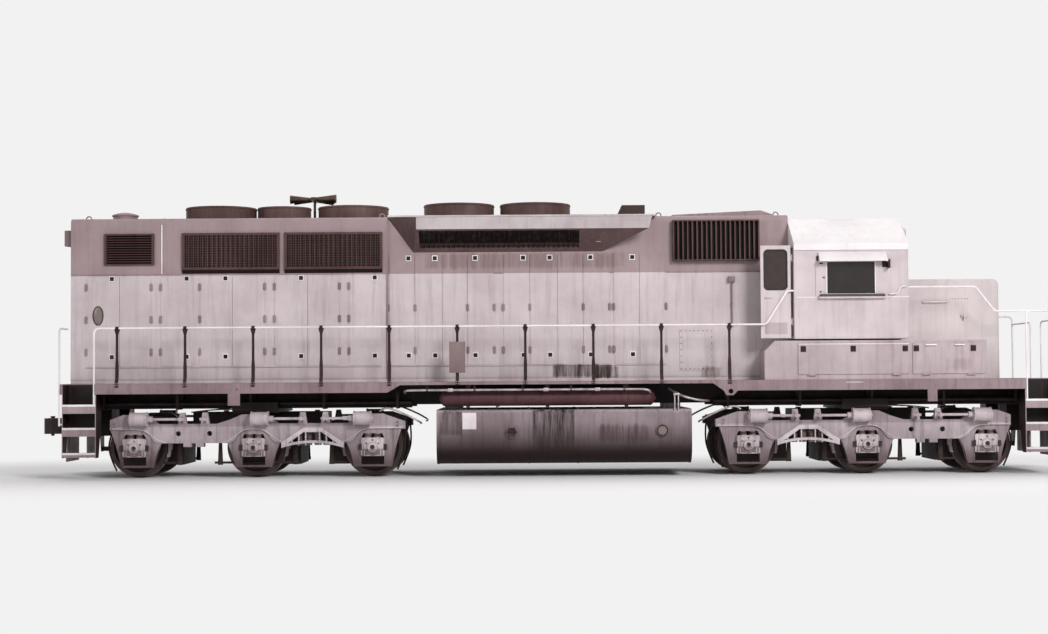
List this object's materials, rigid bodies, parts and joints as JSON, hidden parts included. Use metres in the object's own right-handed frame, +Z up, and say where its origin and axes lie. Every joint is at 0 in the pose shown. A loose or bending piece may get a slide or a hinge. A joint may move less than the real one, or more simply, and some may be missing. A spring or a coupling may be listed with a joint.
{
  "type": "diesel locomotive",
  "caption": "Heavy road-switcher diesel locomotive with a low short nose, side cab windows, long hood with roof fans, and two swivelling trucks on axles.",
  "frame": {"origin": "centre of the bounding box in plan, at the tips of the wheel flanges, 25 mm below the rail head", "axes": "+X along the locomotive to the short nose, +Y to its left side, +Z up"},
  "size_m": [18.504, 3.504, 5.0329],
  "materials": {
    "body_paint": "aged enamel, dusty",
    "upper_paint": "aged enamel, sooty",
    "roof_paint": "aged enamel",
    "frame_paint": "dusty enamel",
    "truck_paint": "silver paint under road dirt",
    "tank_paint": "oily enamel",
    "rail_paint": "satin enamel",
    "grille_black": "sooty steel",
    "dark_iron": "oily iron",
    "wheel_steel": "forged steel, dusty",
    "coupler_steel": "bare cast steel",
    "cab_inside": "satin enamel",
    "window_glass": "dusty safety glass"
  },
  "bodies": {
    "body": {"air_reservoirs": "dark_iron", "battery_boxes": "body_paint", "brake_hatch": "upper_paint", "cab_awnings": "roof_paint", "cab_body": "body_paint", "cab_glass": "window_glass", "cab_interior": "cab_inside", "cab_roof": "roof_paint", "coupler_front": "coupler_steel", "coupler_rear": "coupler_steel", "end_rails": "rail_paint", "engine_block": "dark_iron", "engine_hood": "body_paint", "exhaust_stack": "dark_iron", "fan_shrouds": "upper_paint", "fuel_tank": "tank_paint", "handrail_left": "rail_paint", "handrail_right": "rail_paint", "headlights": "body_paint", "hood_doors": "body_paint", "horn": "dark_iron", "intake_grilles": "grille_black", "nose": "body_paint", "pilot_front": "frame_paint", "pilot_rear": "frame_paint", "radiator_grilles": "grille_black", "radiator_hood": "body_paint", "rear_hood": "body_paint", "roof_hatches": "upper_paint", "stanchions": "grille_black", "underframe": "frame_paint"},
    "truck_front": {"brake_gear_front": "truck_paint", "journal_boxes_front": "truck_paint", "traction_motors_front": "dark_iron", "truck_frame_front": "truck_paint"},
    "wheelset_1": {"wheelset_1": "wheel_steel"},
    "wheelset_2": {"wheelset_2": "wheel_steel"},
    "wheelset_3": {"wheelset_3": "wheel_steel"},
    "truck_rear": {"brake_gear_rear": "truck_paint", "journal_boxes_rear": "truck_paint", "traction_motors_rear": "dark_iron", "truck_frame_rear": "truck_paint"},
    "wheelset_4": {"wheelset_4": "wheel_steel"},
    "wheelset_5": {"wheelset_5": "wheel_steel"},
    "wheelset_6": {"wheelset_6": "wheel_steel"},
    "fan_1": {"fan_rotor_1": "dark_iron"},
    "fan_2": {"fan_rotor_2": "dark_iron"},
    "fan_3": {"fan_rotor_3": "dark_iron"},
    "fan_4": {"fan_rotor_4": "dark_iron"},
    "fan_5": {"fan_rotor_5": "dark_iron"},
    "cab_door_rear": {"cab_door_rear": "body_paint"},
    "cab_door_front": {"cab_door_front": "body_paint"},
    "battery_door_right": {"battery_door_right": "body_paint"},
    "locker_door_right": {"locker_door_right": "body_paint"},
    "battery_door_left": {"battery_door_left": "body_paint"},
    "locker_door_left": {"locker_door_left": "body_paint"}
  },
  "joints": [
    {"name": "truck_front_swivel", "type": "hinge", "parent": "body", "child": "truck_front", "pos_m": [5.334, 0, 1.135], "axis": [0, 0, 1], "range_deg": [-6, 6]},
    {"name": "wheelset_1_spin", "type": "hinge", "parent": "truck_front", "child": "wheelset_1", "pos_m": [7.404, 0, 0.533], "axis": [0, 1, 0], "continuous": true},
    {"name": "wheelset_2_spin", "type": "hinge", "parent": "truck_front", "child": "wheelset_2", "pos_m": [5.334, 0, 0.533], "axis": [0, 1, 0], "continuous": true},
    {"name": "wheelset_3_spin", "type": "hinge", "parent": "truck_front", "child": "wheelset_3", "pos_m": [3.264, 0, 0.533], "axis": [0, 1, 0], "continuous": true},
    {"name": "truck_rear_swivel", "type": "hinge", "parent": "body", "child": "truck_rear", "pos_m": [-5.334, 0, 1.135], "axis": [0, 0, 1], "range_deg": [-6, 6]},
    {"name": "wheelset_4_spin", "type": "hinge", "parent": "truck_rear", "child": "wheelset_4", "pos_m": [-3.264, 0, 0.533], "axis": [0, 1, 0], "continuous": true},
    {"name": "wheelset_5_spin", "type": "hinge", "parent": "truck_rear", "child": "wheelset_5", "pos_m": [-5.334, 0, 0.533], "axis": [0, 1, 0], "continuous": true},
    {"name": "wheelset_6_spin", "type": "hinge", "parent": "truck_rear", "child": "wheelset_6", "pos_m": [-7.404, 0, 0.533], "axis": [0, 1, 0], "continuous": true},
    {"name": "fan_1_spin", "type": "hinge", "parent": "body", "child": "fan_1", "pos_m": [-6.084, 0, 4.675], "axis": [0, 0, 1], "continuous": true},
    {"name": "fan_2_spin", "type": "hinge", "parent": "body", "child": "fan_2", "pos_m": [-4.943, 0, 4.675], "axis": [0, 0, 1], "continuous": true},
    {"name": "fan_3_spin", "type": "hinge", "parent": "body", "child": "fan_3", "pos_m": [-3.694, 0, 4.675], "axis": [0, 0, 1], "continuous": true},
    {"name": "fan_4_spin", "type": "hinge", "parent": "body", "child": "fan_4", "pos_m": [-1.784, 0, 4.675], "axis": [0, 0, 1], "continuous": true},
    {"name": "fan_5_spin", "type": "hinge", "parent": "body", "child": "fan_5", "pos_m": [-0.407, 0, 4.675], "axis": [0, 0, 1], "continuous": true},
    {"name": "cab_door_rear_hinge", "type": "hinge", "parent": "body", "child": "cab_door_rear", "pos_m": [4.006, -1.47, 3.15], "axis": [0, 0, -1], "range_deg": [0, 90]},
    {"name": "cab_door_front_hinge", "type": "hinge", "parent": "body", "child": "cab_door_front", "pos_m": [6.026, 1.47, 3.15], "axis": [0, 0, 1], "range_deg": [0, 90]},
    {"name": "battery_door_right_hinge", "type": "hinge", "parent": "body", "child": "battery_door_right", "pos_m": [6.68, -1.578, 1.731], "axis": [1, 0, 0], "range_deg": [0, 110]},
    {"name": "locker_door_right_hinge", "type": "hinge", "parent": "body", "child": "locker_door_right", "pos_m": [5.05, -1.578, 1.731], "axis": [1, 0, 0], "range_deg": [0, 110]},
    {"name": "battery_door_left_hinge", "type": "hinge", "parent": "body", "child": "battery_door_left", "pos_m": [6.68, 1.578, 1.731], "axis": [-1, 0, 0], "range_deg": [0, 110]},
    {"name": "locker_door_left_hinge", "type": "hinge", "parent": "body", "child": "locker_door_left", "pos_m": [5.05, 1.578, 1.731], "axis": [-1, 0, 0], "range_deg": [0, 110]}
  ]
}
